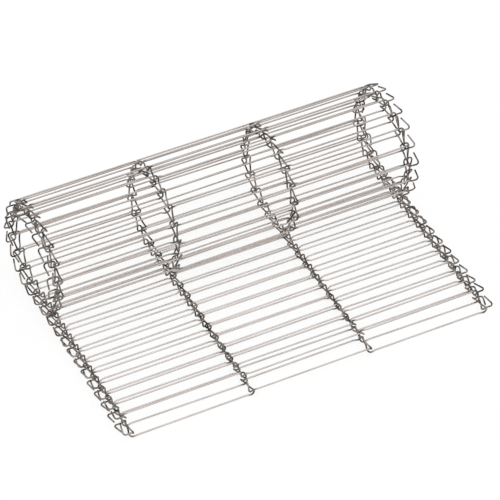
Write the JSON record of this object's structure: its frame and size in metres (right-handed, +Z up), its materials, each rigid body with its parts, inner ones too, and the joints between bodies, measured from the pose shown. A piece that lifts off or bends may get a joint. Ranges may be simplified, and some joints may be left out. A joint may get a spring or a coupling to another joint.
{
  "type": "wire conveyor belt",
  "caption": "Endless open wire mesh belt of hooked Z-bend strands, pressed into two layers and rolled up at one end; carries goods over rollers and lets air and liquid through.",
  "frame": {"origin": "middle of the belt's footprint, on the ground under its lowest runs", "axes": "+X across the belt along the runs, +Y along the belt from the front fold to the roll, +Z up"},
  "size_m": [0.3144, 0.2158, 0.0853],
  "materials": {
    "wire": "bright drawn stainless steel spring wire"
  },
  "bodies": {
    "pitch_01": {"lower_strand_01": "wire", "upper_strand_01": "wire"},
    "pitch_02": {"lower_strand_02": "wire", "upper_strand_02": "wire"},
    "pitch_03": {"lower_strand_03": "wire", "upper_strand_03": "wire"},
    "pitch_04": {"lower_strand_04": "wire", "upper_strand_04": "wire"},
    "pitch_05": {"lower_strand_05": "wire", "upper_strand_05": "wire"},
    "pitch_06": {"lower_strand_06": "wire", "upper_strand_06": "wire"},
    "pitch_07": {"lower_strand_07": "wire", "upper_strand_07": "wire"},
    "pitch_08": {"lower_strand_08": "wire", "upper_strand_08": "wire"},
    "pitch_09": {"lower_strand_09": "wire", "upper_strand_09": "wire"},
    "pitch_10": {"lower_strand_10": "wire", "upper_strand_10": "wire"},
    "pitch_11": {"lower_strand_11": "wire", "upper_strand_11": "wire"},
    "pitch_12": {"lower_strand_12": "wire", "upper_strand_12": "wire"},
    "pitch_13": {"lower_strand_13": "wire", "upper_strand_13": "wire"},
    "pitch_14": {"lower_strand_14": "wire", "upper_strand_14": "wire"},
    "pitch_15": {"lower_strand_15": "wire", "upper_strand_15": "wire"},
    "pitch_16": {"lower_strand_16": "wire", "upper_strand_16": "wire"},
    "pitch_17": {"lower_strand_17": "wire", "upper_strand_17": "wire"},
    "pitch_18": {"lower_strand_18": "wire", "upper_strand_18": "wire"},
    "pitch_19": {"lower_strand_19": "wire", "upper_strand_19": "wire"},
    "pitch_20": {"lower_strand_20": "wire", "upper_strand_20": "wire"},
    "pitch_21": {"lower_strand_21": "wire", "upper_strand_21": "wire"},
    "pitch_22": {"lower_strand_22": "wire", "upper_strand_22": "wire"},
    "pitch_23": {"lower_strand_23": "wire", "upper_strand_23": "wire"},
    "pitch_24": {"lower_strand_24": "wire", "upper_strand_24": "wire"},
    "pitch_25": {"lower_strand_25": "wire", "upper_strand_25": "wire"},
    "pitch_26": {"lower_strand_26": "wire", "upper_strand_26": "wire"},
    "pitch_27": {"lower_strand_27": "wire", "upper_strand_27": "wire"},
    "pitch_28": {"lower_strand_28": "wire", "upper_strand_28": "wire"},
    "pitch_29": {"lower_strand_29": "wire", "upper_strand_29": "wire"},
    "pitch_30": {"lower_strand_30": "wire", "upper_strand_30": "wire"}
  },
  "joints": [
    {"name": "hinge_01_02", "type": "hinge", "parent": "pitch_01", "child": "pitch_02", "pos_m": [-0.00211, -0.09249, 0.00562], "axis": [1, 0, 0], "range_deg": [-8, 3]},
    {"name": "hinge_02_03", "type": "hinge", "parent": "pitch_02", "child": "pitch_03", "pos_m": [-0.00191, -0.07979, 0.00502], "axis": [1, 0, 0], "range_deg": [-18, 3]},
    {"name": "hinge_03_04", "type": "hinge", "parent": "pitch_03", "child": "pitch_04", "pos_m": [-0.00171, -0.06709, 0.00473], "axis": [1, 0, 0], "range_deg": [-18, 3]},
    {"name": "hinge_04_05", "type": "hinge", "parent": "pitch_04", "child": "pitch_05", "pos_m": [-0.00151, -0.05439, 0.00458], "axis": [1, 0, 0], "range_deg": [-18, 3]},
    {"name": "hinge_05_06", "type": "hinge", "parent": "pitch_05", "child": "pitch_06", "pos_m": [-0.00131, -0.04169, 0.0045], "axis": [1, 0, 0], "range_deg": [-18, 3]},
    {"name": "hinge_06_07", "type": "hinge", "parent": "pitch_06", "child": "pitch_07", "pos_m": [-0.00111, -0.02899, 0.00446], "axis": [1, 0, 0], "range_deg": [-18, 3]},
    {"name": "hinge_07_08", "type": "hinge", "parent": "pitch_07", "child": "pitch_08", "pos_m": [-0.00091, -0.01629, 0.00444], "axis": [1, 0, 0], "range_deg": [-18, 3]},
    {"name": "hinge_08_09", "type": "hinge", "parent": "pitch_08", "child": "pitch_09", "pos_m": [-0.00071, -0.00359, 0.00443], "axis": [1, 0, 0], "range_deg": [-18, 3]},
    {"name": "hinge_09_10", "type": "hinge", "parent": "pitch_09", "child": "pitch_10", "pos_m": [-0.00051, 0.00911, 0.00443], "axis": [1, 0, 0], "range_deg": [-18, 3]},
    {"name": "hinge_10_11", "type": "hinge", "parent": "pitch_10", "child": "pitch_11", "pos_m": [-0.00031, 0.02181, 0.00443], "axis": [1, 0, 0], "range_deg": [-18, 3]},
    {"name": "hinge_11_12", "type": "hinge", "parent": "pitch_11", "child": "pitch_12", "pos_m": [-0.00011, 0.03451, 0.00443], "axis": [1, 0, 0], "range_deg": [-18, 3]},
    {"name": "hinge_12_13", "type": "hinge", "parent": "pitch_12", "child": "pitch_13", "pos_m": [-0.00006, 0.04721, 0.00443], "axis": [1, 0, 0], "range_deg": [-18, 3]},
    {"name": "hinge_13_14", "type": "hinge", "parent": "pitch_13", "child": "pitch_14", "pos_m": [-0.00006, 0.05991, 0.00443], "axis": [1, 0, 0], "range_deg": [-7.58, 0]},
    {"name": "hinge_14_15", "type": "hinge", "parent": "pitch_14", "child": "pitch_15", "pos_m": [-0.00006, 0.0728, 0.00614], "axis": [1, 0, 0], "range_deg": [-15.63, 0]},
    {"name": "hinge_15_16", "type": "hinge", "parent": "pitch_15", "child": "pitch_16", "pos_m": [-0.00006, 0.08475, 0.01126], "axis": [1, 0, 0], "range_deg": [-17.02, 0]},
    {"name": "hinge_16_17", "type": "hinge", "parent": "pitch_16", "child": "pitch_17", "pos_m": [-0.00006, 0.09467, 0.01966], "axis": [1, 0, 0], "range_deg": [-19.16, 0]},
    {"name": "hinge_17_18", "type": "hinge", "parent": "pitch_17", "child": "pitch_18", "pos_m": [-0.00006, 0.10129, 0.03085], "axis": [1, 0, 0], "range_deg": [-21.3, 0]},
    {"name": "hinge_18_19", "type": "hinge", "parent": "pitch_18", "child": "pitch_19", "pos_m": [-0.00006, 0.1034, 0.04367], "axis": [1, 0, 0], "range_deg": [-22.15, 0]},
    {"name": "hinge_19_20", "type": "hinge", "parent": "pitch_19", "child": "pitch_20", "pos_m": [-0.00011, 0.10051, 0.05635], "axis": [1, 0, 0], "range_deg": [-21.01, 0]},
    {"name": "hinge_20_21", "type": "hinge", "parent": "pitch_20", "child": "pitch_21", "pos_m": [-0.00031, 0.09327, 0.06714], "axis": [1, 0, 0], "range_deg": [-18.79, 0]},
    {"name": "hinge_21_22", "type": "hinge", "parent": "pitch_21", "child": "pitch_22", "pos_m": [-0.00051, 0.08293, 0.07503], "axis": [1, 0, 0], "range_deg": [-16.74, 0]},
    {"name": "hinge_22_23", "type": "hinge", "parent": "pitch_22", "child": "pitch_23", "pos_m": [-0.00071, 0.07077, 0.07961], "axis": [1, 0, 0], "range_deg": [-15.49, 0]},
    {"name": "hinge_23_24", "type": "hinge", "parent": "pitch_23", "child": "pitch_24", "pos_m": [-0.00091, 0.05782, 0.08076], "axis": [1, 0, 0], "range_deg": [-15.17, 0]},
    {"name": "hinge_24_25", "type": "hinge", "parent": "pitch_24", "child": "pitch_25", "pos_m": [-0.00111, 0.04503, 0.07848], "axis": [1, 0, 0], "range_deg": [-15.79, 0]},
    {"name": "hinge_25_26", "type": "hinge", "parent": "pitch_25", "child": "pitch_26", "pos_m": [-0.00131, 0.03336, 0.07279], "axis": [1, 0, 0], "range_deg": [-17.32, 0]},
    {"name": "hinge_26_27", "type": "hinge", "parent": "pitch_26", "child": "pitch_27", "pos_m": [-0.00151, 0.02395, 0.06387], "axis": [1, 0, 0], "range_deg": [-19.53, 0]},
    {"name": "hinge_27_28", "type": "hinge", "parent": "pitch_27", "child": "pitch_28", "pos_m": [-0.00171, 0.01815, 0.05233], "axis": [1, 0, 0], "range_deg": [-21.56, 0]},
    {"name": "hinge_28_29", "type": "hinge", "parent": "pitch_28", "child": "pitch_29", "pos_m": [-0.00191, 0.01716, 0.03954], "axis": [1, 0, 0], "range_deg": [-22.09, 0]},
    {"name": "hinge_29_30", "type": "hinge", "parent": "pitch_29", "child": "pitch_30", "pos_m": [-0.00211, 0.02129, 0.02755], "axis": [1, 0, 0], "range_deg": [-19.72, 0]}
  ]
}
